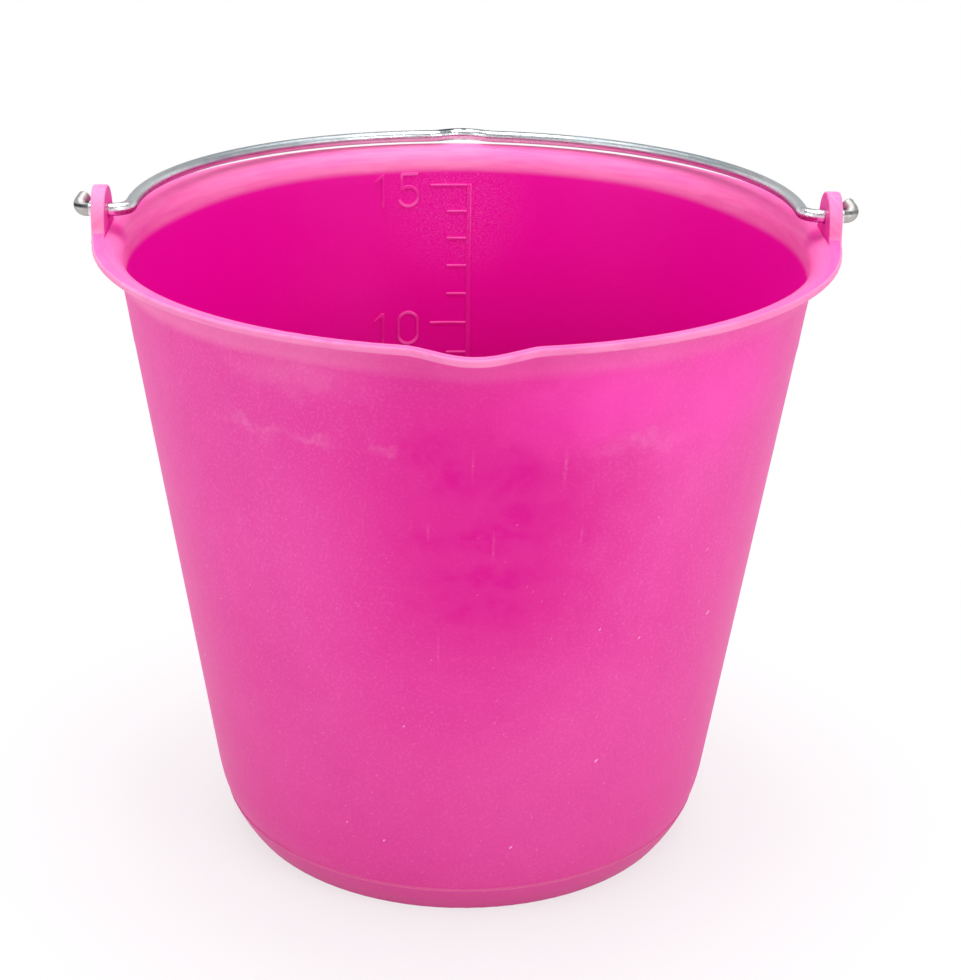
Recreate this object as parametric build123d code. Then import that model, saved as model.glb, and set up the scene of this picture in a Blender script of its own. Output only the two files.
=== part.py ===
from build123d import *
import math
import os

# A moulded plastic farm bucket with a pouring spout, and its round wire bail.
# Millimetres, +Z up. The origin is the middle of the foot, on the ground.
# The spout points along -Y, the ears stand at +X and -X, and the bail lies folded back along +Y.

# Wall and lip
bucket_height = 292.5
base_radius = 115.9
wall = 2.5
lip_radius = 169.3
lip_flat = 2.0
lip_thickness = 3.2
lip_edge_round = 1.0
flare_radius = 12.3

# Floor and foot: the wall curves in to the ground, and its lowest band stands proud by a fine ledge
floor_underside = 9.8
floor_thickness = 2.0
floor_corner_radius = 6.0
foot_inset = 8.5
foot_thickness = 3.2
foot_edge_round = 1.2
foot_curve_height = 31.0
foot_band_height = 15.1
foot_band_ledge = 0.45

# Spout
spout_reach = 12.0
spout_half_width = 30.0
spout_depth = 45.0

# Ears
ear_thickness = 6.6
ear_width = 29.5
ear_overhang = 0.15
ear_edge_round = 0.9
ear_root_radius = 4.2
ear_root_sink = 0.2
pivot_above_lip = 8.3
ear_above_pivot = 11.2

# Wire bail
wire_diameter = 6.0
wire_end_round = 0.8
leg_bend_radius = 8.5
bail_inset = 1.6
hook_height = 4.8
hook_bend_radius = 18.0
stub_bend_radius = 3.4
stub_bend = 115.0
stub_tail = 4.0
stub_lift = 35.0

# Clearances of the bail in its ears and over the lip
hole_clearance = 1.0
leg_gap = 0.5
stub_gap = 3.0
bail_rest_gap = 1.2

# Litre scale, raised on the inside of the back wall
first_mark = 1
numbered_every = 5
scale_relief = 0.5
mark_stroke = 1.1
short_mark = 10.3
long_mark = 19.0
rail_width = 2.4
rail_offset = 3.5
numeral_height = 16.5
numeral_width = 10.0
numeral_flag = 4.0
numeral_tail = 20.0
numeral_drop = 2.2
numeral_gap = 6.6
numeral_spacing = 5.2
numeral_stroke = 1.3
CUBIC_MM_PER_LITRE = 1.0e6

# The straight wall starts at the base circle and ends tangent to the underside of the flare
flare_center_r = lip_radius - lip_flat
flare_center_z = bucket_height - flare_radius
flare_under_radius = flare_radius - wall
center_distance = math.hypot(flare_center_r - base_radius, flare_center_z)
wall_angle = math.atan2(flare_center_z, flare_center_r - base_radius)
wall_angle += math.asin(flare_under_radius / center_distance)
wall_slope = 1 / math.tan(wall_angle)
wall_across = wall / math.sin(wall_angle)
flare_start = math.pi / 2 + wall_angle
flare_start_z = flare_center_z + flare_radius * math.sin(flare_start)
floor_top = floor_underside + floor_thickness

# The foot curve is one arc, tangent to the wall and running down to the foot's edge on the ground
curve_top_r = base_radius + wall_slope * foot_curve_height
curve_in = curve_top_r - base_radius + foot_inset
curve_run = curve_in * math.cos(wall_angle) + foot_curve_height * math.sin(wall_angle)
curve_shift = curve_in * math.sin(wall_angle) - foot_curve_height * math.cos(wall_angle)
curve_radius = (curve_run ** 2 + curve_shift ** 2) / (2 * curve_shift)
curve_center_r = curve_top_r - curve_radius * math.sin(wall_angle)
curve_center_z = foot_curve_height + curve_radius * math.cos(wall_angle)

# The spout is drawn out of the upper wall
spout_start = bucket_height - spout_depth
spout_half_angle = math.asin(spout_half_width / lip_radius)

# The bail turns in the ears: its legs stand inside them and its stubs outside
wire_radius = wire_diameter / 2
hole_radius = wire_radius + hole_clearance / 2
pivot_height = bucket_height + pivot_above_lip
ear_outer = lip_radius + ear_overhang
ear_inner = ear_outer - ear_thickness
leg_x = ear_inner - leg_gap - leg_bend_radius
bail_reach = lip_radius - bail_inset
rest_drop = math.asin((pivot_above_lip - wire_radius - bail_rest_gap) / bail_reach)


def outer_radius(z):
    """Outside of the straight wall at one height."""
    return base_radius + wall_slope * z


def inner_radius(z):
    """Inside of the straight wall at one height."""
    return outer_radius(z) - wall_across


def curve_radius_at(z, offset):
    """Radius of the foot curve at one height, moved out by the offset."""
    return curve_center_r + math.sqrt((curve_radius + offset) ** 2 - (z - curve_center_z) ** 2)


def foot_arc(low, high, offset):
    """Part of the foot curve between two heights, moved out by the offset."""
    heights = [low, (low + high) / 2, high]
    return ThreePointArc(*[(curve_radius_at(z, offset), z) for z in heights])


def wall_section(radius_at, bottom, offset):
    """Half section of the solid inside one face of the wall, curved in at the foot."""
    tangent_height = curve_center_z - (curve_radius + offset) * math.cos(wall_angle)
    arc = foot_arc(bottom, tangent_height, offset)
    rest = Polyline(arc @ 1, (radius_at(spout_start), spout_start), (0, spout_start), (0, bottom), arc @ 0)
    return make_face([arc, rest])


def inside_section():
    """Half section of the space inside the wall, down to the floor."""
    section = wall_section(inner_radius, floor_top, -wall)
    floor_edge = section.vertices().sort_by_distance((inner_radius(floor_top), floor_top))[0]
    return fillet(floor_edge, floor_corner_radius)


def foot_section():
    """Half section of the foot ring and its proud band."""
    arc = foot_arc(0, foot_band_height, foot_band_ledge)
    foot_inner = base_radius - foot_inset - foot_thickness
    rest = Polyline(arc @ 1, (foot_inner, foot_band_height), (foot_inner, 0), arc @ 0)
    section = make_face([arc, rest])
    return fillet(section.vertices().group_by(Axis.Y)[0], foot_edge_round)


def lower_bucket():
    """Wall below the spout, floor and foot ring, turned about the upright axis."""
    section = wall_section(outer_radius, floor_underside, 0)
    section += foot_section()
    section -= inside_section()
    return revolve(Plane.XZ * section, Axis.Z)


def spout_outline(radius, z):
    """Closed plan of the bucket at one height: a circle drawn out into the spout at the front."""
    reach = spout_reach * ((z - spout_start) / spout_depth) ** 2

    def at(turn, extra=0.0):
        return Vector((radius + extra) * math.sin(turn), -(radius + extra) * math.cos(turn), z)

    side = (spout_half_angle + math.pi) / 2
    right = ThreePointArc(at(spout_half_angle), at(side), at(math.pi))
    left = ThreePointArc(at(math.pi), at(-side), at(-spout_half_angle))
    if reach > 0:
        points = []
        steps = 8
        for step in range(steps + 1):
            share = 2 * step / steps - 1
            swell = (1 + math.cos(math.pi * share)) / 2
            points.append(at(share * spout_half_angle, reach * swell))
        nose = Spline(*points, tangents=[left % 1, right % 0])
    else:
        nose = ThreePointArc(at(-spout_half_angle), at(0), at(spout_half_angle))
    return make_face(Wire([right, left, nose]))


def trumpet(radius_at, arc_radius):
    """Solid inside one face of the upper wall and its flare, with the spout."""
    wall_steps = 5
    flare_steps = 7
    wall_end = flare_center_z + arc_radius * math.sin(flare_start)
    sections = []
    for step in range(wall_steps):
        z = spout_start + (wall_end - spout_start) * step / wall_steps
        sections.append(spout_outline(radius_at(z), z))
    for step in range(flare_steps + 1):
        turn = flare_start + (math.pi / 2 - flare_start) * step / flare_steps
        radius = flare_center_r + arc_radius * math.cos(turn)
        sections.append(spout_outline(radius, flare_center_z + arc_radius * math.sin(turn)))
    return loft(sections)


def upper_bucket():
    """Flared upper wall with the spout drawn out of it, and the thicker edge of the lip."""
    lip = extrude(spout_outline(lip_radius, bucket_height), lip_thickness, dir=(0, 0, -1))
    lip = fillet(lip.faces().filter_by(Axis.Z).edges(), lip_edge_round)
    return trumpet(outer_radius, flare_under_radius) + lip - trumpet(inner_radius, flare_radius)


def ear():
    """Upright ear at +X with its round top, widened root and bail hole, flush with the edge of the lip."""
    root = bucket_height - lip_thickness + lip_edge_round
    shoulder = bucket_height - ear_root_sink
    arch_height = pivot_height + ear_above_pivot - ear_width / 2
    root_width = ear_width + 2 * (ear_root_radius + ear_edge_round)
    outline = Pos(0, arch_height) * Circle(ear_width / 2)
    outline += Pos(0, root) * Rectangle(ear_width, arch_height - root, align=(Align.CENTER, Align.MIN))
    outline += Pos(0, root) * Rectangle(root_width, shoulder - root, align=(Align.CENTER, Align.MIN))
    outline -= Pos(0, root) * Rectangle(root_width, ear_width, align=(Align.CENTER, Align.MAX))
    corners = [outline.vertices().sort_by_distance((y, shoulder))[0] for y in (-ear_width / 2, ear_width / 2)]
    outline = fillet(corners, ear_root_radius)
    plate = extrude(Plane.YZ.offset(ear_inner) * outline, ear_thickness + ear_overhang)
    plate &= Cylinder(ear_outer, 2 * (pivot_height + ear_width))
    rim = plate.edges().filter_by(Axis.X, reverse=True).filter_by(lambda edge: edge.center().Z > shoulder)
    plate = fillet(rim, ear_edge_round)
    hole = Plane.YZ.offset(ear_inner) * Pos(0, pivot_height) * Circle(hole_radius)
    return plate - extrude(hole, 2 * ear_thickness)


def mark_height(litres):
    """Height of the level that this many litres fill, inside the straight wall."""
    floor_edge = inner_radius(floor_top)
    radius = (floor_edge ** 3 + 3 * wall_slope * litres * CUBIC_MM_PER_LITRE / math.pi) ** (1 / 3)
    return (radius - inner_radius(0)) / wall_slope


def numeral_lines(digit):
    """Centre lines of one moulded figure, with its lower left corner at 0, 0."""
    w = numeral_width
    h = numeral_height
    bowl = w / 2
    if digit == "0":
        top_arc = ThreePointArc((0, h - bowl), (bowl, h), (w, h - bowl))
        bottom_arc = ThreePointArc((w, bowl), (bowl, 0), (0, bowl))
        return [top_arc, Line((w, h - bowl), (w, bowl)), bottom_arc, Line((0, bowl), (0, h - bowl))]
    if digit == "1":
        stem = (w + numeral_flag) / 2
        return [Line((stem, 0), (stem, h)), Line((stem, h), (stem - numeral_flag, h - numeral_flag))]
    corner = bowl - bowl * math.cos(math.pi / 4)
    back = Line((corner, h), (corner, w - corner))
    tail = math.radians(numeral_tail)
    belly_end = (bowl - bowl * math.cos(tail), bowl - bowl * math.sin(tail))
    belly = ThreePointArc((corner, w - corner), (w, bowl), belly_end)
    return [Line((w, h), (corner, h)), back, belly]


def scale_sketch(marks):
    """Rail, marks and figures of the litre scale, seen from the front."""
    heights = [mark_height(litres) for litres in marks]
    rail_height = heights[-1] - heights[0] + mark_stroke
    sketch = Pos(rail_offset, (heights[0] + heights[-1]) / 2) * Rectangle(rail_width, rail_height)
    right = rail_offset - rail_width / 2
    for litres, z in zip(marks, heights):
        numbered = litres % numbered_every == 0
        length = long_mark if numbered else short_mark
        sketch += Pos(right, z) * Rectangle(length, mark_stroke, align=(Align.MAX, Align.CENTER))
        if not numbered:
            continue
        left = right - length - numeral_gap
        for digit in reversed(str(litres)):
            left -= numeral_width
            for line in numeral_lines(digit):
                sketch += Pos(left, z - numeral_drop - numeral_height / 2) * trace(line, numeral_stroke)
            left -= numeral_spacing
    return sketch


def litre_scale():
    """Raised scale on the inside of the back wall, each mark at its true level below the flare."""
    marks = [first_mark]
    while mark_height(marks[-1] + 1) + mark_stroke < flare_start_z:
        marks.append(marks[-1] + 1)
    low = mark_height(marks[0]) - numeral_height
    high = mark_height(marks[-1]) + numeral_height
    skin = Polyline(
        (inner_radius(low) - scale_relief, low),
        (inner_radius(low) + wall / 2, low),
        (inner_radius(high) + wall / 2, high),
        (inner_radius(high) - scale_relief, high),
        close=True,
    )
    skin = revolve(Plane.XZ * make_face(skin), Axis.Z)
    return skin & extrude(Plane.XZ * scale_sketch(marks), -2 * lip_radius)


def bucket_body():
    """The whole moulding in one piece: foot, floor, wall, lip, spout, ears and raised litre scale."""
    right_ear = ear()
    body = lower_bucket() + upper_bucket()
    body += right_ear
    body += mirror(right_ear, Plane.YZ)
    return body + litre_scale()


def bail_path():
    """Centre line of half the bail, from the middle of its hook bend to the end of its stub."""
    crown_center = bail_reach - leg_x
    hook_center = bail_reach + hook_height - hook_bend_radius
    rise = hook_center - crown_center
    blend = leg_x + hook_bend_radius
    dip_y = (blend ** 2 - 4 * hook_bend_radius ** 2 + hook_center ** 2 - crown_center ** 2) / (2 * rise)
    dip_x = math.sqrt(4 * hook_bend_radius ** 2 - (dip_y - hook_center) ** 2)
    hook_turn = math.degrees(math.atan2(dip_x, dip_y - hook_center))
    crown_turn = math.degrees(math.atan2(dip_x, dip_y - crown_center))
    path = [JernArc((0, bail_reach + hook_height), (1, 0), hook_bend_radius, -hook_turn)]

    def bend(radius, degrees):
        path.append(JernArc(path[-1] @ 1, path[-1] % 1, radius, degrees))

    def run(length):
        path.append(Line(path[-1] @ 1, (path[-1] @ 1) + (path[-1] % 1) * length))

    bend(hook_bend_radius, hook_turn - crown_turn)
    bend(leg_x, crown_turn - 90)
    run(crown_center - leg_bend_radius)
    bend(leg_bend_radius, 90)
    run(leg_gap + ear_thickness + stub_gap)
    in_plane = len(path)
    bend(stub_bend_radius, stub_bend)
    run(stub_tail)
    lifted = [Rot(stub_lift, 0, 0) * edge for edge in path[in_plane:]]
    return Wire(path[:in_plane] + lifted)


def wire_bail():
    """Round wire bent to a half circle with straight legs, lying back on the lip."""
    half = bail_path()
    section = Plane(origin=half @ 0, z_dir=half % 0) * Circle(wire_radius)
    swept = sweep(section, path=half)
    tip = swept.faces().sort_by_distance(half @ 1)[0]
    swept = fillet(tip.edges(), wire_end_round)
    whole = swept + mirror(swept, Plane.YZ)
    return Pos(0, 0, pivot_height) * Rot(-math.degrees(rest_drop), 0, 0) * whole


os.makedirs("parts", exist_ok=True)
export_step(bucket_body(), "parts/bucket_body.step")
export_step(wire_bail(), "parts/wire_bail.step")
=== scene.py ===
import math

import bpy
from mathutils import Matrix, Vector

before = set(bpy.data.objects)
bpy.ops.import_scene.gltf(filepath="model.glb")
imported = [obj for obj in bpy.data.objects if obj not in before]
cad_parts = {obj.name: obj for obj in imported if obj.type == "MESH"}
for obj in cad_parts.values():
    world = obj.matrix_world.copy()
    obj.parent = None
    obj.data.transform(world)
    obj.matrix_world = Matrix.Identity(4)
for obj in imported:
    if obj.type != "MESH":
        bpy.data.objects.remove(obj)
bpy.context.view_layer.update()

# The bucket: one injection moulding in bright pink polyethylene, with foot, lip, spout, ears and litre scale.
# Inside it is deep pink, painted darker towards the bottom as painted shade. Outside it is hazy from
# handling, the haze colour carrying painted sheen, with a painted dark reflection below the spout, and marked
# where stacked buckets rub.
# The lip, the ears and the edges of the raised figures are painted paler as a painted highlight, partly
# rubbed wear.

WALL_FOOT_RADIUS = 0.1159
WALL_MEAN_RADIUS = 0.14
WALL_SLOPE = 0.148074
WALL_ACROSS = 0.002527
FLOOR_RADIUS = 0.11512
LIP_TOP = 0.2925

DEEP_PINK = (0.68, 0.001, 0.25, 1.0)
INSIDE_PINK = (0.79, 0.0, 0.34, 1.0)
INSIDE_LOW_PINK = (0.60, 0.0, 0.235, 1.0)
HAZE_AND_SHEEN_PINK = (0.84, 0.092, 0.4, 1.0)
LOW_PINK = (0.66, 0.055, 0.26, 1.0)
VIVID_PINK = (1.0, 0.07, 0.50, 1.0)
RUBBED_AND_SHEEN_PINK = (0.93, 0.295, 0.535, 1.0)
SCALE_PINK = (0.97, 0.15, 0.56, 1.0)
NICK_PINK = (0.96, 0.66, 0.84, 1.0)
FOOT_PINK = (0.62, 0.08, 0.27, 1.0)

# Marks on the outside: degrees round from the spout, height, half width in degrees, half height
DARK_REFLECTION_PATCHES = (
    (-6.5, 0.243, 4.5, 0.009),
    (-1.5, 0.231, 4.5, 0.011),
    (13.6, 0.275, 5.0, 0.006),
    (12.4, 0.256, 5.5, 0.010),
    (7.5, 0.232, 7.0, 0.012),
    (9.8, 0.216, 6.5, 0.008),
    (3.0, 0.204, 14.0, 0.006),
    (5.0, 0.184, 12.0, 0.006),
    (2.0, 0.168, 12.0, 0.010),
)
STACKING_RUBS = (
    (-36.2, 0.2426, 7.5, 0.0035),
    (-24.6, 0.2419, 3.6, 0.0026),
    (-13.7, 0.2416, 2.8, 0.0032),
    (28.5, 0.2409, 8.5, 0.0052),
)
LIP_SMEARS = ((-28.0, 0.272, 11.0, 0.009),)
VIVID_PATCHES = ((24.0, 0.262, 18.0, 0.022), (44.0, 0.255, 16.0, 0.030))
SCRATCHES = (
    (14.7, 0.2345, 0.40, 0.0100),
    (0.2, 0.2376, 0.25, 0.0070),
    (3.8, 0.1990, 0.25, 0.0070),
    (-6.8, 0.2060, 0.25, 0.0045),
    (-5.3, 0.1466, 0.20, 0.0100),
    (18.5, 0.2004, 0.25, 0.0070),
)
OVAL_FADE = (1.5, 0.1)


def connect(tree, socket, value):
    """Gives a socket either another node's output or a plain value."""
    if isinstance(value, bpy.types.NodeSocket):
        tree.links.new(value, socket)
    else:
        socket.default_value = value


def add_node(tree, kind, inputs=None, **options):
    """Adds a node, sets its options and feeds its inputs."""
    node = tree.nodes.new(kind)
    for option, value in options.items():
        setattr(node, option, value)
    for name, value in (inputs or {}).items():
        connect(tree, node.inputs[name], value)
    return node


def calc(tree, operation, first, second=0.0, third=0.0):
    """One step of arithmetic."""
    terms = {0: first, 1: second, 2: third}
    return add_node(tree, "ShaderNodeMath", terms, operation=operation).outputs[0]


def plus_share(tree, base, share, mask):
    """A base value with a share of a mask added to it."""
    return calc(tree, "MULTIPLY_ADD", mask, share, base)


def off_middle(tree, value, middle):
    """How far a value is from a middle value, to either side."""
    return calc(tree, "ABSOLUTE", calc(tree, "SUBTRACT", value, middle))


def product(tree, first, *others):
    """Several masks multiplied together."""
    for other in others:
        first = calc(tree, "MULTIPLY", first, other)
    return first


def strongest(tree, first, *others):
    """The greatest of several masks."""
    for other in others:
        first = calc(tree, "MAXIMUM", first, other)
    return first


def aim(tree, operation, first, second=(0.0, 0.0, 0.0)):
    """One step of vector arithmetic; returns the node's outputs."""
    return add_node(tree, "ShaderNodeVectorMath", {0: first, 1: second}, operation=operation).outputs


def point(tree, across, along, up=0.0):
    """A place put together from three values."""
    return add_node(tree, "ShaderNodeCombineXYZ", {"X": across, "Y": along, "Z": up}).outputs[0]


def soft_step(tree, value, start, end):
    """A mask that goes smoothly from 0 at start to 1 at end. A value named FADE holds the two."""
    limits = {"Value": value, "From Min": start, "From Max": end}
    return add_node(tree, "ShaderNodeMapRange", limits, interpolation_type="SMOOTHSTEP").outputs["Result"]


def choose(tree, switch, off_value, on_value):
    """One value where a mask is 0 and another where it is 1."""
    return add_node(tree, "ShaderNodeMix", {0: switch, 2: off_value, 3: on_value}).outputs[0]


def tint(tree, share, under, over):
    """Lays one colour over another by a share."""
    return add_node(tree, "ShaderNodeMix", {0: share, 6: under, 7: over}, data_type="RGBA").outputs[2]


def clouds(tree, place, size, detail=3.0):
    """Soft noise with blotches of about this size in metres."""
    noise = {"Vector": place, "Scale": 1 / size, "Detail": detail}
    return add_node(tree, "ShaderNodeTexNoise", noise).outputs


def oval_spots(tree, wall_place, spots):
    """Mask of soft ovals on the unrolled wall."""
    masks = []
    for turn, height, half_turn, half_height in spots:
        offset = aim(tree, "SUBTRACT", wall_place, (math.radians(turn), height, 0.0))[0]
        shares = aim(tree, "DIVIDE", offset, (math.radians(half_turn), half_height, 1.0))[0]
        masks.append(soft_step(tree, aim(tree, "LENGTH", shares)["Value"], *OVAL_FADE))
    return strongest(tree, *masks)


def new_group(name, inputs, outputs):
    """A node group with these sockets; returns it with the sockets to read from and to feed."""
    group = bpy.data.node_groups.new(name, "ShaderNodeTree")
    for in_out, sockets in (("INPUT", inputs), ("OUTPUT", outputs)):
        for label, kind in sockets.items():
            group.interface.new_socket(label, in_out=in_out, socket_type="NodeSocket" + kind)
    return group, group.nodes.new("NodeGroupInput").outputs, group.nodes.new("NodeGroupOutput").inputs


def place_group(tree, group, inputs):
    """Puts a node group into a material; returns its outputs."""
    return add_node(tree, "ShaderNodeGroup", inputs, node_tree=group).outputs


def new_material(name):
    """A material with only a Principled shader; returns the material, its tree and the shader."""
    material = bpy.data.materials.new(name)
    material.use_nodes = True
    tree = material.node_tree
    return material, tree, tree.nodes["Principled BSDF"]


def dress(node, material):
    """Puts one material on every slot of a CAD node."""
    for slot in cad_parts[node].material_slots:
        slot.material = material


# Blotches and fine grain, shared by the plastic and the wire
BLOTCH_FADE = (0.33, 0.68)

mottle, given, result = new_group(
    "mottle",
    {"Place": "Vector", "Blotches per metre": "Float", "Grains per metre": "Float"},
    {"Blotches": "Float", "Grain": "Float"},
)
blotch_noise = {"Vector": given["Place"], "Scale": given["Blotches per metre"], "Detail": 3.0}
blotches = add_node(mottle, "ShaderNodeTexNoise", blotch_noise).outputs["Fac"]
connect(mottle, result["Blotches"], soft_step(mottle, blotches, *BLOTCH_FADE))
grain_noise = {"Vector": given["Place"], "Scale": given["Grains per metre"], "Detail": 2.0}
connect(mottle, result["Grain"], add_node(mottle, "ShaderNodeTexNoise", grain_noise).outputs["Fac"])

# Fine lines that run along X, shared by the plastic's scratches and the wire's drawing lines
LINE_LEVEL = 0.8
LINE_SOFTNESS = 0.08

fine_lines, given, result = new_group(
    "fine_lines",
    {"Place": "Vector", "Lines per metre": "Float", "Stretch": "Float", "Spread": "Float"},
    {"Lines": "Float"},
)
across = given["Lines per metre"]
along = calc(fine_lines, "DIVIDE", across, given["Stretch"])
squeezed = aim(fine_lines, "MULTIPLY", given["Place"], point(fine_lines, along, across, across))[0]
line_noise = {"Vector": squeezed, "Scale": 1.0, "Detail": 1.0}
streaks = add_node(fine_lines, "ShaderNodeTexNoise", line_noise).outputs["Fac"]
line_start = calc(fine_lines, "SUBTRACT", LINE_LEVEL, given["Spread"])
line_end = calc(fine_lines, "ADD", line_start, LINE_SOFTNESS)
connect(fine_lines, result["Lines"], soft_step(fine_lines, streaks, line_start, line_end))

# The places and directions that the plastic's marks go by
OUTSIDE_FADE = (0.05, 0.35)
SPECKLE_FADE = (0.48, 0.7)
FINE_CLOUD_SIZE = 0.012

plastic, tree, shader = new_material("pink_plastic_moulding")
coordinates = tree.nodes.new("ShaderNodeTexCoord").outputs
place = coordinates["Object"]
facing = coordinates["Normal"]
x, y, z = add_node(tree, "ShaderNodeSeparateXYZ", {0: place}).outputs
facing_side, _, facing_up = add_node(tree, "ShaderNodeSeparateXYZ", {0: facing}).outputs
sideways = calc(tree, "ABSOLUTE", x)
level = point(tree, x, y)
radius = aim(tree, "LENGTH", level)["Value"]
outward = aim(tree, "NORMALIZE", level)[0]
facing_out = aim(tree, "DOT_PRODUCT", facing, outward)["Value"]
turn_from_spout = calc(tree, "ARCTAN2", x, calc(tree, "MULTIPLY", y, -1.0))
round_wall = calc(tree, "MULTIPLY", turn_from_spout, WALL_MEAN_RADIUS)
wall_place = point(tree, turn_from_spout, z)
outside = soft_step(tree, facing_out, *OUTSIDE_FADE)
inside = calc(tree, "SUBTRACT", 1.0, outside)
mottled = place_group(tree, mottle, {"Place": place, "Blotches per metre": 10.0, "Grains per metre": 800.0})
speckle = soft_step(tree, mottled["Grain"], *SPECKLE_FADE)
fine_clouds = clouds(tree, place, FINE_CLOUD_SIZE, 5.0)

# Haze on the outside, its colour also carrying painted sheen, thinner in front below the spout as a painted
# dark reflection
RAGGED_EDGE = (0.16, 0.022, 0.0)
STREAK_SIZE = 0.006
STREAK_FADE = (0.36, 0.62)
DARK_REFLECTION_EVEN = 0.4
DARK_REFLECTION_STREAKY = 0.6
DARK_REFLECTION_MIDDLE = (0.04, 0.208, 0.0)
DARK_REFLECTION_HALF = (0.55, 0.12, 1.0)
DARK_REFLECTION_FADE = (1.2, 0.2)
DARK_REFLECTION_MIDDLE_SHARE = 0.82
DARK_REFLECTION_PATCH_SHARE = 0.22
HAZE_LEAST = 0.42
HAZE_BLOTCHES = 0.22
HAZE_SPECKLE = 0.3
HAZE_CLOUDS = 0.24
SHEEN_LOST_TO_DARK_REFLECTION = 0.96
LOW_FADE = (0.2, 0.03)
LOW_SHARE = 0.4
VIVID_SHARE = 0.5
INSIDE_FADE = (0.12, 0.26)

wander = aim(tree, "SUBTRACT", fine_clouds["Color"], (0.5, 0.5, 0.5))[0]
wander = aim(tree, "MULTIPLY", wander, RAGGED_EDGE)[0]
ragged_place = aim(tree, "ADD", wall_place, wander)[0]
streaky = soft_step(tree, clouds(tree, place, STREAK_SIZE, 6.0)["Fac"], *STREAK_FADE)
# Painted dark reflection: the front below the spout gets less haze, where its sheen would mirror darker
# surroundings.
dark_reflection = oval_spots(tree, ragged_place, DARK_REFLECTION_PATCHES)
dark_reflection = product(tree, dark_reflection, plus_share(tree, DARK_REFLECTION_EVEN, DARK_REFLECTION_STREAKY, streaky))
from_middle = aim(tree, "SUBTRACT", ragged_place, DARK_REFLECTION_MIDDLE)[0]
from_middle = aim(tree, "DIVIDE", from_middle, DARK_REFLECTION_HALF)[0]
middle = soft_step(tree, aim(tree, "LENGTH", from_middle)["Value"], *DARK_REFLECTION_FADE)
dark_reflection = plus_share(tree, product(tree, dark_reflection, DARK_REFLECTION_PATCH_SHARE), DARK_REFLECTION_MIDDLE_SHARE, middle)
haze_and_sheen = plus_share(tree, HAZE_LEAST, HAZE_BLOTCHES, mottled["Blotches"])
haze_and_sheen = plus_share(tree, haze_and_sheen, HAZE_SPECKLE, speckle)
haze_and_sheen = plus_share(tree, haze_and_sheen, HAZE_CLOUDS, fine_clouds["Fac"])
haze_and_sheen = product(tree, haze_and_sheen, plus_share(tree, 1.0, -SHEEN_LOST_TO_DARK_REFLECTION, dark_reflection))
low = product(tree, soft_step(tree, z, *LOW_FADE), LOW_SHARE)
# Painted light: the vivid patches on the right are brighter and more saturated where light from the front
# right falls.
vivid = product(tree, oval_spots(tree, ragged_place, VIVID_PATCHES), VIVID_SHARE)
colour = tint(tree, haze_and_sheen, DEEP_PINK, HAZE_AND_SHEEN_PINK)
colour = tint(tree, low, colour, LOW_PINK)
colour = tint(tree, vivid, colour, VIVID_PINK)
# Painted shade: the inside is painted darker towards the bottom, where less light reaches.
inside_colour = tint(tree, soft_step(tree, z, *INSIDE_FADE), INSIDE_LOW_PINK, INSIDE_PINK)
colour = tint(tree, inside, colour, inside_colour)

# Pale places on the wall: a painted reflection of the floor below the lip, and rubs where stacked buckets
# touch
UNDER_LIP_FADE = (0.274, 0.280)
UNDER_LIP_LEAST = 0.12
UNDER_LIP_LEFT = 0.25
UNDER_LIP_BLOTCHES = 0.15
LEFT_FADE = (-0.1, -0.45)
SMEAR_SHARE = 0.2
RUB_RING_HEIGHT = 0.242
RUB_RING_FADE = (0.006, 0.001)
RUB_PATCH_SIZE = 0.045
RUB_PATCH_FADE = (0.5, 0.62)
BEHIND_FADE = (0.9, 1.2)
RUB_EVEN = 0.07
RUB_STREAKY = 0.12

# Painted reflection: the band below the lip is painted paler where the down-facing wall mirrors the floor,
# most on the left.
below_lip = product(tree, soft_step(tree, z, *UNDER_LIP_FADE), outside)
on_left = soft_step(tree, turn_from_spout, *LEFT_FADE)
under_share = plus_share(tree, UNDER_LIP_LEAST, UNDER_LIP_LEFT, on_left)
under_share = plus_share(tree, under_share, UNDER_LIP_BLOTCHES, mottled["Blotches"])
under_lip_reflection = product(tree, below_lip, under_share)
smears = product(tree, oval_spots(tree, ragged_place, LIP_SMEARS), outside, SMEAR_SHARE)
stacked = oval_spots(tree, ragged_place, STACKING_RUBS)
on_ring = soft_step(tree, off_middle(tree, z, RUB_RING_HEIGHT), *RUB_RING_FADE)
ring_patches = soft_step(tree, clouds(tree, place, RUB_PATCH_SIZE, 4.0)["Fac"], *RUB_PATCH_FADE)
behind = soft_step(tree, calc(tree, "ABSOLUTE", turn_from_spout), *BEHIND_FADE)
stacked_behind = product(tree, on_ring, ring_patches, behind)
rub_share = plus_share(tree, RUB_EVEN, RUB_STREAKY, streaky)
ring = product(tree, strongest(tree, stacked, stacked_behind), rub_share, outside)

# Scratches on the outside, and dust inside at the top of the scale
SCRATCH_PLACE_SIZE = 0.06
SCRATCH_PLACE_FADE = (0.5, 0.6)
FINE_SCRATCH_SHARE = 0.25
LONG_SCRATCH_EVEN = 0.06
LONG_SCRATCH_SPECKLE = 0.1
DUST_PLACE = (-0.004, 0.156, 0.264)
DUST_FADE = (0.05, 0.01)
DUST_GRAIN_SIZE = 0.0006
DUST_GRAIN_FADE = (0.45, 0.7)
DUST_SHARE = 0.2

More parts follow.
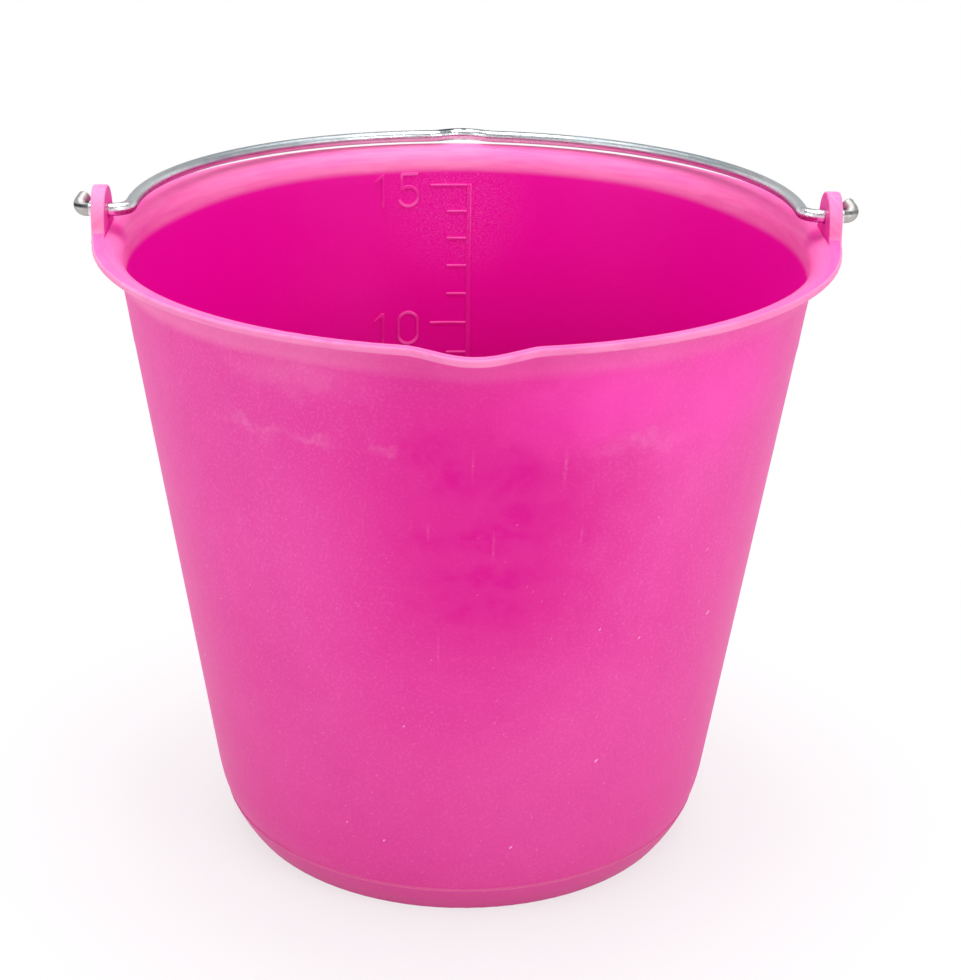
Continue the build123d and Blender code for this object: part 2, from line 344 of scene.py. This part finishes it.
upright_place = point(tree, z, round_wall)
scratch_lines = {"Place": upright_place, "Lines per metre": 420.0, "Stretch": 26.0, "Spread": 0.03}
fine_scratches = place_group(tree, fine_lines, scratch_lines)["Lines"]
scratch_places = soft_step(tree, clouds(tree, place, SCRATCH_PLACE_SIZE)["Fac"], *SCRATCH_PLACE_FADE)
fine_scratches = product(tree, fine_scratches, scratch_places, FINE_SCRATCH_SHARE)
long_share = plus_share(tree, LONG_SCRATCH_EVEN, LONG_SCRATCH_SPECKLE, speckle)
long_scratches = product(tree, oval_spots(tree, wall_place, SCRATCHES), long_share)
scratch = product(tree, strongest(tree, long_scratches, fine_scratches), outside)
dusty = soft_step(tree, aim(tree, "DISTANCE", place, DUST_PLACE)["Value"], *DUST_FADE)
dust_grain = soft_step(tree, clouds(tree, place, DUST_GRAIN_SIZE, 2.0)["Fac"], *DUST_GRAIN_FADE)
dust = product(tree, dusty, dust_grain, inside, DUST_SHARE)

# The lip, its flare and the ears, painted paler as a painted highlight and partly rubbed, with a moulding
# line across the ears
PALE_BAND_FADE = (0.2765, 0.2805)
PALE_BAND_RISE = 0.003
PALE_BAND_BACK_FADE = (0.05, 0.14)
FLARE_FACING_FADE = (0.02, 0.12)
FLARE_SHARE = 0.62
FLARE_BACK_SHARE = 0.32
FLARE_BACK_FADE = (0.03, 0.13)
LIP_EDGE_FADE = (LIP_TOP - 0.0036, LIP_TOP - 0.0030)
LIP_EDGE_SHARE = 1.15
EAR_FADE = (LIP_TOP + 0.0002, LIP_TOP + 0.002)
EAR_FLAT_FADE = (0.7, 0.95)
EAR_EDGE_SHARE = 1.2
EAR_FLAT_LESS = 0.95
RIM_LEAST = 0.5
RIM_BLOTCHES = 0.2
RIM_CLOUDS = 0.16
LIP_STREAK_ROUND = (0.008, 0.008, 0.0)
LIP_STREAK_ACROSS = 0.4
LIP_STREAK_SIZE = 0.0011
LIP_STREAK_FADE = (0.4, 0.65)
LIP_STREAK_LESS = 0.2
LIP_STREAK_MOST = 1.08
EAR_LINE = -0.004
EAR_LINE_FADE = (0.0006, 0.0002)
EAR_TOP_FADE = (0.309, 0.3095)

# Painted highlight: the up-facing flare, the lip's outer edge and the ears' edges are painted paler where the
# overhead light catches them.
band_height = plus_share(tree, z, -PALE_BAND_RISE, soft_step(tree, y, *PALE_BAND_BACK_FADE))
on_flare = soft_step(tree, band_height, *PALE_BAND_FADE)
on_flare = product(tree, on_flare, soft_step(tree, facing_up, *FLARE_FACING_FADE))
flare_share = plus_share(tree, FLARE_SHARE, FLARE_BACK_SHARE, soft_step(tree, y, *FLARE_BACK_FADE))
flare_sheen = product(tree, on_flare, flare_share)
lip_edge = product(tree, soft_step(tree, z, *LIP_EDGE_FADE), outside, LIP_EDGE_SHARE)
ear_flat = soft_step(tree, calc(tree, "ABSOLUTE", facing_side), *EAR_FLAT_FADE)
ear_share = plus_share(tree, EAR_EDGE_SHARE, -EAR_FLAT_LESS, ear_flat)
ears = product(tree, soft_step(tree, z, *EAR_FADE), ear_share)
rim_variation = plus_share(tree, RIM_LEAST, RIM_BLOTCHES, mottled["Blotches"])
rim_variation = plus_share(tree, rim_variation, RIM_CLOUDS, fine_clouds["Fac"])
across_lip = calc(tree, "MULTIPLY", calc(tree, "ADD", radius, z), LIP_STREAK_ACROSS)
round_lip = aim(tree, "MULTIPLY", outward, LIP_STREAK_ROUND)[0]
round_lip = aim(tree, "ADD", round_lip, point(tree, 0.0, 0.0, across_lip))[0]
lip_streaks = soft_step(tree, clouds(tree, round_lip, LIP_STREAK_SIZE, 2.0)["Fac"], *LIP_STREAK_FADE)
streak_share = plus_share(tree, LIP_STREAK_MOST, -LIP_STREAK_LESS, lip_streaks)
rim_sheen_and_wear = product(tree, strongest(tree, flare_sheen, lip_edge, ears), rim_variation, streak_share)
ear_line = soft_step(tree, off_middle(tree, y, EAR_LINE), *EAR_LINE_FADE)
ear_line = product(tree, ear_line, soft_step(tree, z, *EAR_TOP_FADE))

# A painted highlight along the foot's ledge
FOOT_BAND_TOP = 0.0151
FOOT_LINE_FADE = (0.0009, 0.0003)
FOOT_RADIUS_FADE = (0.1154, 0.1158)
FOOT_LINE_SHARE = 0.5

# Painted highlight: a pale line on the ledge where the foot band meets the wall, as the up-facing ledge
# catches light.
foot_ledge_highlight = soft_step(tree, off_middle(tree, z, FOOT_BAND_TOP), *FOOT_LINE_FADE)
foot_ledge_highlight = product(tree, foot_ledge_highlight, soft_step(tree, radius, *FOOT_RADIUS_FADE), FOOT_LINE_SHARE)

# All rubbed places and painted highlights together, and painted shade at the ears' roots below the wire
EAR_ROOT = (0.160, 0.004, 0.2940)
EAR_ROOT_FADE = (0.013, 0.004)
EAR_INNER_FADE = (0.164, 0.163)
EAR_ROOT_SHARE = 0.95

rubbed_and_sheen = strongest(tree, under_lip_reflection, smears, ring, scratch, dust, rim_sheen_and_wear, ear_line, foot_ledge_highlight)
colour = tint(tree, rubbed_and_sheen, colour, RUBBED_AND_SHEEN_PINK)
# Painted shade: the ears' inner faces and the flare beside them below the wire are tinted deep pink where
# wire and ears shade them.
from_root = aim(tree, "DISTANCE", point(tree, sideways, y, z), EAR_ROOT)["Value"]
painted_root_shade = soft_step(tree, from_root, *EAR_ROOT_FADE)
painted_root_shade = product(tree, painted_root_shade, soft_step(tree, sideways, *EAR_INNER_FADE), EAR_ROOT_SHARE)
colour = tint(tree, painted_root_shade, colour, INSIDE_PINK)

# The raised litre scale: a painted highlight on the upper halves of its marks, the level parts of its
# figures, the rail's edge and every up-facing stroke edge.
# The number of litres that fill the bucket to a height tells how far that height is from the nearest mark.
NUMBERED_EVERY = 5.0
SCALE_LEFT_FADE = (-0.0525, -0.0515)
SCALE_RIGHT_FADE = (0.0062, 0.0057)
SCALE_BACK_FADE = (0.05, 0.06)
SCALE_FOOT_FADE = (0.032, 0.034)
SCALE_TOP_FADE = (0.2835, 0.2825)
SCALE_DEPTH_FADE = (0.0015, 0.0010)
RAISED_FADE = (0.0003, 0.00045)
UPPER_EDGE_FADE = (0.3, 0.6)
MARK_FADE = (-0.0001, 0.0002)
MARK_LOWER = 0.1
MARK_UPPER = 0.75
FIGURE_TOP_FADE = (0.0030, 0.0055)
FIGURE_FOOT_FADE = (-0.0050, -0.0095)
FIGURE_UPRIGHT = 0.14
FIGURE_LEVEL = 0.52
FIGURES_RIGHT = -0.020
ONES_FADE = (-0.037, -0.036)
ONES_SHARE = 0.25
RAIL_LEFT = 0.0021
RAIL_RIGHT = 0.0044
RAIL_EDGE_FADE = (0.0005, 0.0001)
RAIL_TOP_FADE = (0.235, 0.265)
RAIL_FACE = 0.05
RAIL_EDGE = 0.5
STROKE_LEAST = 0.4
STROKE_CLOUDS = 1.2

inner_line = plus_share(tree, WALL_FOOT_RADIUS - WALL_ACROSS, WALL_SLOPE, z)
depth = calc(tree, "SUBTRACT", inner_line, radius)
filled = calc(tree, "SUBTRACT", calc(tree, "POWER", inner_line, 3.0), FLOOR_RADIUS ** 3)
litres = calc(tree, "MULTIPLY", filled, 1000.0 * math.pi / (3.0 * WALL_SLOPE))
litre_height = calc(tree, "DIVIDE", 0.001 / math.pi, calc(tree, "POWER", inner_line, 2.0))
above_mark = calc(tree, "SUBTRACT", litres, calc(tree, "ROUND", litres))
above_mark = calc(tree, "MULTIPLY", above_mark, litre_height)
nearest_figure = calc(tree, "SNAP", calc(tree, "ADD", litres, 0.5 * NUMBERED_EVERY), NUMBERED_EVERY)
above_figure = calc(tree, "MULTIPLY", calc(tree, "SUBTRACT", litres, nearest_figure), litre_height)
scale_area = product(
    tree,
    soft_step(tree, x, *SCALE_LEFT_FADE),
    soft_step(tree, x, *SCALE_RIGHT_FADE),
    soft_step(tree, y, *SCALE_BACK_FADE),
    soft_step(tree, z, *SCALE_FOOT_FADE),
    soft_step(tree, z, *SCALE_TOP_FADE),
    soft_step(tree, depth, *SCALE_DEPTH_FADE),
)
raised_face = soft_step(tree, depth, *RAISED_FADE)
# Painted highlight: stroke edges that face up are painted bright, as they catch the overhead light.
upper_edge = soft_step(tree, facing_up, *UPPER_EDGE_FADE)
mark_highlight = plus_share(tree, MARK_LOWER, MARK_UPPER, soft_step(tree, above_mark, *MARK_FADE))
figure_tops = soft_step(tree, above_figure, *FIGURE_TOP_FADE)
figure_feet = soft_step(tree, above_figure, *FIGURE_FOOT_FADE)
figure_highlight = plus_share(tree, FIGURE_UPRIGHT, FIGURE_LEVEL, strongest(tree, figure_tops, figure_feet))
past_ones = plus_share(tree, ONES_SHARE, 1.0 - ONES_SHARE, soft_step(tree, x, *ONES_FADE))
figure_highlight = product(tree, figure_highlight, past_ones)
rail_edge = soft_step(tree, off_middle(tree, x, RAIL_RIGHT), *RAIL_EDGE_FADE)
rail_edge = product(tree, rail_edge, soft_step(tree, z, *RAIL_TOP_FADE))
rail_highlight = plus_share(tree, RAIL_FACE, RAIL_EDGE, rail_edge)
stroke_highlight = choose(tree, calc(tree, "GREATER_THAN", x, RAIL_LEFT), mark_highlight, rail_highlight)
stroke_highlight = choose(tree, calc(tree, "LESS_THAN", x, FIGURES_RIGHT), stroke_highlight, figure_highlight)
stroke_highlight = product(tree, stroke_highlight, plus_share(tree, STROKE_LEAST, STROKE_CLOUDS, fine_clouds["Fac"]))
raised = strongest(tree, product(tree, raised_face, stroke_highlight), upper_edge)
colour = tint(tree, product(tree, raised, scale_area), colour, SCALE_PINK)

# Nicks, most of them low down, fine flecks, and the greyer foot
ALONG_NICK = (0.35, 0.30, 0.0)
ACROSS_NICK = (-0.65, 0.76, 0.0)
NICK_CELLS = 42.0
NICK_PICK_FADE = (0.62, 0.64)
NICK_LEAST_SIZE = 0.008
NICK_MORE_SIZE = 0.016
NICK_HEIGHT_FADE = (0.25, 0.12)
NICK_SHARE = 0.6
FLECK_CELLS = 240.0
FLECK_SIZE = 0.06
FLECK_PICK_FADE = (0.85, 0.87)
FLECK_HEIGHT_FADE = (0.24, 0.14)
FLECK_SHARE = 0.16
FOOT_FADE = (FOOT_BAND_TOP, FOOT_BAND_TOP - 0.0008)
FOOT_SHARE = 0.35


def scattered_cells(tree, place, cells):
    """Scattered dots: the distance to the nearest one, and two random values that belong to it."""
    dots = {"Vector": place, "Scale": cells}
    found = add_node(tree, "ShaderNodeTexVoronoi", dots, voronoi_dimensions="2D").outputs
    picks = add_node(tree, "ShaderNodeSeparateColor", {0: found["Color"]}).outputs
    return found["Distance"], picks["Red"], picks["Green"]


wall_metres = point(tree, round_wall, z)
along_nick = aim(tree, "DOT_PRODUCT", wall_metres, ALONG_NICK)["Value"]
across_nick = aim(tree, "DOT_PRODUCT", wall_metres, ACROSS_NICK)["Value"]
nick_place = point(tree, along_nick, across_nick)
from_nick, nick_pick, nick_growth = scattered_cells(tree, nick_place, NICK_CELLS)
nick_size = plus_share(tree, NICK_LEAST_SIZE, NICK_MORE_SIZE, nick_growth)
nicks = product(
    tree,
    calc(tree, "LESS_THAN", from_nick, nick_size),
    soft_step(tree, nick_pick, *NICK_PICK_FADE),
    outside,
    soft_step(tree, z, *NICK_HEIGHT_FADE),
    NICK_SHARE,
)
from_fleck, fleck_pick, _ = scattered_cells(tree, nick_place, FLECK_CELLS)
flecks = product(
    tree,
    calc(tree, "LESS_THAN", from_fleck, FLECK_SIZE),
    soft_step(tree, fleck_pick, *FLECK_PICK_FADE),
    outside,
    soft_step(tree, z, *FLECK_HEIGHT_FADE),
    FLECK_SHARE,
)
colour = tint(tree, strongest(tree, nicks, flecks), colour, NICK_PINK)
foot = product(tree, soft_step(tree, z, *FOOT_FADE), outside, FOOT_SHARE)
connect(tree, shader.inputs["Base Color"], tint(tree, foot, colour, FOOT_PINK))

# The plastic's sheen and skin
SHEEN_INSIDE = 0.36
SHEEN_OUTSIDE = 0.06
SHEEN_BLOTCHES = 0.07
SHEEN_RUBBED = 0.06
NICK_DEPTH = 1.5
SCRATCH_DEPTH = 0.5

roughness = plus_share(tree, SHEEN_INSIDE, SHEEN_OUTSIDE, outside)
roughness = plus_share(tree, roughness, SHEEN_BLOTCHES, mottled["Blotches"])
connect(tree, shader.inputs["Roughness"], plus_share(tree, roughness, SHEEN_RUBBED, rubbed_and_sheen))
shader.inputs["Specular IOR Level"].default_value = 0.14
skin = plus_share(tree, mottled["Grain"], -NICK_DEPTH, nicks)
skin = plus_share(tree, skin, -SCRATCH_DEPTH, scratch)
skin_bump = add_node(tree, "ShaderNodeBump", {"Height": skin, "Strength": 0.25, "Distance": 0.0003})
connect(tree, shader.inputs["Normal"], skin_bump.outputs[0])
dress("bucket_body", plastic)

# The wire bail: one length of 6 mm steel wire, drawn, zinc plated and bent cold, with a hook bend in the
# middle. The plating is bright at the bends, dull and spotted along the sides, with a white bloom below the
# middle. The bending tool left dark marks at the hook, and the cut ends show bare, browned metal.

BAIL_MIDDLE = 0.0139
BAIL_RADIUS = 0.154

BRIGHT_ZINC = (0.66, 0.69, 0.71, 1.0)
DULL_ZINC = (0.35, 0.405, 0.44, 1.0)
STUB_ZINC = (0.44, 0.43, 0.40, 1.0)
DARK_ZINC = (0.05, 0.06, 0.075, 1.0)
BROWN_METAL = (0.40, 0.31, 0.20, 1.0)
EDGE_ZINC = (0.42, 0.45, 0.46, 1.0)
PALE_ZINC = (0.95, 0.92, 0.94, 1.0)
ZINC_BLOOM = (0.74, 0.74, 0.76, 1.0)

wire, tree, shader = new_material("zinc_plated_wire")
coordinates = tree.nodes.new("ShaderNodeTexCoord").outputs
place = coordinates["Object"]
x, y, z = add_node(tree, "ShaderNodeSeparateXYZ", {0: place}).outputs
_, facing_back, facing_up = add_node(tree, "ShaderNodeSeparateXYZ", {0: coordinates["Normal"]}).outputs
sideways = calc(tree, "ABSOLUTE", x)
beyond = calc(tree, "SUBTRACT", y, BAIL_MIDDLE)
round_bail = calc(tree, "MULTIPLY", calc(tree, "ARCTAN2", x, beyond), BAIL_RADIUS)
reach = aim(tree, "LENGTH", point(tree, x, beyond))["Value"]
along_wire = point(tree, round_bail, reach, z)
spots = place_group(tree, mottle, {"Place": place, "Blotches per metre": 130.0, "Grains per metre": 900.0})
drawing_lines = {"Place": along_wire, "Lines per metre": 1100.0, "Stretch": 28.0, "Spread": 0.24}
drawn = place_group(tree, fine_lines, drawing_lines)["Lines"]

# Dull sides, clean legs, a painted reflection on the underside, and the bloom
DULL_FROM_MIDDLE_FADE = (0.03, 0.08)
DULL_TO_LEGS_FADE = (0.150, 0.125)
DULL_LEAST = 0.05
DULL_SIDES = 0.4
DULL_SPOTS = 0.35
DULL_LINES = 0.3
LEGS_FADE = (0.125, 0.150)
LEGS_SHARE = 0.45
UNDERSIDE_FADE = (0.1, -0.4)
UNDERSIDE_SHARE = 0.85
BLOOM_FADE = (0.10, 0.03)
BLOOM_SHARE = 0.75

dull_sides = soft_step(tree, sideways, *DULL_FROM_MIDDLE_FADE)
dull_sides = product(tree, dull_sides, soft_step(tree, sideways, *DULL_TO_LEGS_FADE))
dullness = plus_share(tree, DULL_LEAST, DULL_SIDES, dull_sides)
dullness = plus_share(tree, dullness, DULL_SPOTS, spots["Blotches"])
dullness = plus_share(tree, dullness, DULL_LINES, drawn)
colour = tint(tree, dullness, BRIGHT_ZINC, DULL_ZINC)
legs = product(tree, soft_step(tree, sideways, *LEGS_FADE), LEGS_SHARE)
colour = tint(tree, legs, colour, PALE_ZINC)
# Painted reflection: the downward-facing side is painted paler, so it mirrors the pink lip more brightly.
underside = soft_step(tree, facing_up, *UNDERSIDE_FADE)
colour = tint(tree, product(tree, underside, UNDERSIDE_SHARE), colour, PALE_ZINC)
bloom = product(tree, underside, soft_step(tree, sideways, *BLOOM_FADE), BLOOM_SHARE)
colour = tint(tree, bloom, colour, ZINC_BLOOM)

# Tool marks at the hook: place and half length along X
HOOK_MARKS = ((-0.0088, 0.0055), (0.0005, 0.0018))
HOOK_FADE = (0.15, 0.16)
HOOK_FACING_FADE = (-0.85, -0.4)
HOOK_MARK_SHARE = 0.9

tool_marks = []
for mark_x, half_length in HOOK_MARKS:
    tool_marks.append(soft_step(tree, off_middle(tree, x, mark_x), half_length, 0.5 * half_length))
at_hook = product(
    tree,
    strongest(tree, *tool_marks),
    soft_step(tree, y, *HOOK_FADE),
    soft_step(tree, facing_back, *HOOK_FACING_FADE),
    HOOK_MARK_SHARE,
)
colour = tint(tree, at_hook, colour, DARK_ZINC)

# The stubs outside the ears, with a painted dark reflection in a band across them and brown cut ends
STUB_FADE = (0.1712, 0.1718)
STUB_SHARE = 0.8
DARK_BAND_HEIGHT = 0.3029
DARK_BAND_FADE = (0.0011, 0.0003)
STUB_END = (0.17384, 0.0071, 0.30547)
STUB_END_FACING = (-0.4226, 0.7557, 0.5)
STUB_END_FADE = (0.00585, 0.0045)
CUT_FADE = (-0.0008, -0.0002)

stub = soft_step(tree, sideways, *STUB_FADE)
colour = tint(tree, product(tree, stub, STUB_SHARE), colour, STUB_ZINC)
# Painted reflection: a dark band across each stub stands in for the dark horizon it mirrors.
dark_band_reflection = soft_step(tree, off_middle(tree, z, DARK_BAND_HEIGHT), *DARK_BAND_FADE)
colour = tint(tree, product(tree, dark_band_reflection, stub, spots["Blotches"]), colour, DARK_ZINC)
from_end = aim(tree, "SUBTRACT", point(tree, sideways, y, z), STUB_END)[0]
past_end = aim(tree, "DOT_PRODUCT", from_end, STUB_END_FACING)["Value"]
near_end = soft_step(tree, aim(tree, "LENGTH", from_end)["Value"], *STUB_END_FADE)
cut_end = product(tree, soft_step(tree, past_end, *CUT_FADE), near_end)
connect(tree, shader.inputs["Base Color"], tint(tree, cut_end, colour, BROWN_METAL))

# The plating's gloss and its fine relief
GLOSS_LEAST = 0.2
GLOSS_DULL = 0.3
GLOSS_STUB = 0.22
LINE_DEPTH = 0.4

connect(tree, shader.inputs["Metallic"], calc(tree, "SUBTRACT", 1.0, bloom))
shader.inputs["Specular Tint"].default_value = EDGE_ZINC
roughness = plus_share(tree, GLOSS_LEAST, GLOSS_DULL, dullness)
connect(tree, shader.inputs["Roughness"], plus_share(tree, roughness, GLOSS_STUB, stub))
plating = plus_share(tree, spots["Grain"], -LINE_DEPTH, drawn)
plating_bump = add_node(tree, "ShaderNodeBump", {"Height": plating, "Strength": 0.35, "Distance": 0.0003})
connect(tree, shader.inputs["Normal"], plating_bump.outputs[0])
dress("wire_bail", wire)

# The floor: a pale matt studio floor. Seen directly or in a reflection it fades to plain white away from the
# bucket, and near the bucket it keeps the bucket's soft shadow.

FLOOR_SIDE = 12.0
FLOOR_GREY = (0.88, 0.88, 0.88, 1.0)
PURE_WHITE = (1.0, 1.0, 1.0, 1.0)
SHADOW_FADE = (0.14, 0.42)
SHADOW_SHARE = 0.35

bpy.ops.mesh.primitive_plane_add(size=FLOOR_SIDE)
floor = bpy.context.object
floor.name = "floor"
paint, tree, shader = new_material("pale_floor")
shader.inputs["Base Color"].default_value = FLOOR_GREY
shader.inputs["Roughness"].default_value = 0.9


def seen_rays(tree):
    """1 for what is seen directly, mirrored or through glass; 0 for the light that falls on things."""
    rays = tree.nodes.new("ShaderNodeLightPath").outputs
    return strongest(tree, rays["Is Camera Ray"], rays["Is Glossy Ray"], rays["Is Transmission Ray"])


floor_place = tree.nodes.new("ShaderNodeTexCoord").outputs["Object"]
far = soft_step(tree, aim(tree, "LENGTH", floor_place)["Value"], *SHADOW_FADE)
whiteness = plus_share(tree, 1.0 - SHADOW_SHARE, SHADOW_SHARE, far)
white = add_node(tree, "ShaderNodeEmission", {"Color": PURE_WHITE, "Strength": 1.0}).outputs[0]
white_share = product(tree, whiteness, seen_rays(tree))
mixed = add_node(tree, "ShaderNodeMixShader", {0: white_share, 1: shader.outputs[0], 2: white})
connect(tree, tree.nodes["Material Output"].inputs["Surface"], mixed.outputs[0])
floor.data.materials.append(paint)

# The light: a white studio with a large soft lamp overhead, weaker ones at the front right and the left, and
# fill from all round. The white backdrop reaches a little above the horizon, and the ceiling is a dim grey.

FILL_LIGHT = (0.95, 0.97, 1.0, 1.0)
FILL_STRENGTH = 0.7
CEILING_FADE = (0.3, 0.6)
CEILING_LIGHT = 0.26

world = bpy.data.worlds.new("studio")
bpy.context.scene.world = world
world.use_nodes = True
tree = world.node_tree
fill = tree.nodes["Background"]
fill.inputs["Color"].default_value = FILL_LIGHT
fill.inputs["Strength"].default_value = FILL_STRENGTH
direction = tree.nodes.new("ShaderNodeTexCoord").outputs["Generated"]
height = add_node(tree, "ShaderNodeSeparateXYZ", {0: direction}).outputs["Z"]
brightness = plus_share(tree, 1.0, CEILING_LIGHT - 1.0, soft_step(tree, height, *CEILING_FADE))
backdrop = add_node(tree, "ShaderNodeBackground", {"Color": PURE_WHITE, "Strength": brightness})
studio = {0: seen_rays(tree), 1: fill.outputs[0], 2: backdrop.outputs[0]}
mixed = add_node(tree, "ShaderNodeMixShader", studio)
connect(tree, tree.nodes["World Output"].inputs["Surface"], mixed.outputs[0])


def soft_lamp(name, side, watts, place, target):
    """A square area lamp of one side length, aimed at a point."""
    lamp = bpy.data.lights.new(name, "AREA")
    lamp.size = side
    lamp.energy = watts
    holder = bpy.data.objects.new(name, lamp)
    holder.location = place
    holder.rotation_euler = (Vector(target) - Vector(place)).to_track_quat("-Z", "Y").to_euler()
    bpy.context.scene.collection.objects.link(holder)


soft_lamp("overhead_lamp", side=1.2, watts=16.0, place=(0.0, 0.15, 1.5), target=(0.0, 0.0, 0.2))
soft_lamp("front_right_lamp", side=0.8, watts=7.0, place=(1.0, -1.1, 1.0), target=(0.0, 0.0, 0.2))
soft_lamp("left_lamp", side=0.8, watts=4.0, place=(-1.3, -0.7, 0.9), target=(0.0, 0.0, 0.25))

# The camera: it stands in front of the bucket and looks down at it,
# tilted and turned a little as the picture was taken.

IMAGE_WIDTH = 961
SENSOR_WIDTH = 36.0
FOCAL_PIXELS = 2194.66
CAMERA_BACK = 0.970585
CAMERA_HEIGHT = 0.565909
LOOK_DOWN = 0.39212
PAN = 0.0081
ROLL = 0.01674
BUCKET_TURN = math.radians(1.1)

turn = Matrix.Rotation(-BUCKET_TURN, 3, "Z")
level_reach = math.cos(LOOK_DOWN)
ahead = Vector((math.sin(PAN) * level_reach, math.cos(PAN) * level_reach, -math.sin(LOOK_DOWN)))
sideline = ahead.cross(Vector((0, 0, 1))).normalized()
upright = sideline.cross(ahead)
right = math.cos(ROLL) * sideline + math.sin(ROLL) * upright
up = math.cos(ROLL) * upright - math.sin(ROLL) * sideline
axes = Matrix((turn @ right, turn @ up, turn @ -ahead)).transposed()
stand = turn @ Vector((0, -CAMERA_BACK, CAMERA_HEIGHT))

camera_data = bpy.data.cameras.new("camera")
camera_data.sensor_fit = "HORIZONTAL"
camera_data.sensor_width = SENSOR_WIDTH
camera_data.lens = SENSOR_WIDTH * FOCAL_PIXELS / IMAGE_WIDTH
camera = bpy.data.objects.new("camera", camera_data)
camera.matrix_world = Matrix.Translation(stand) @ axes.to_4x4()
bpy.context.scene.collection.objects.link(camera)
bpy.context.scene.camera = camera

bpy.context.scene.view_settings.view_transform = "Standard"
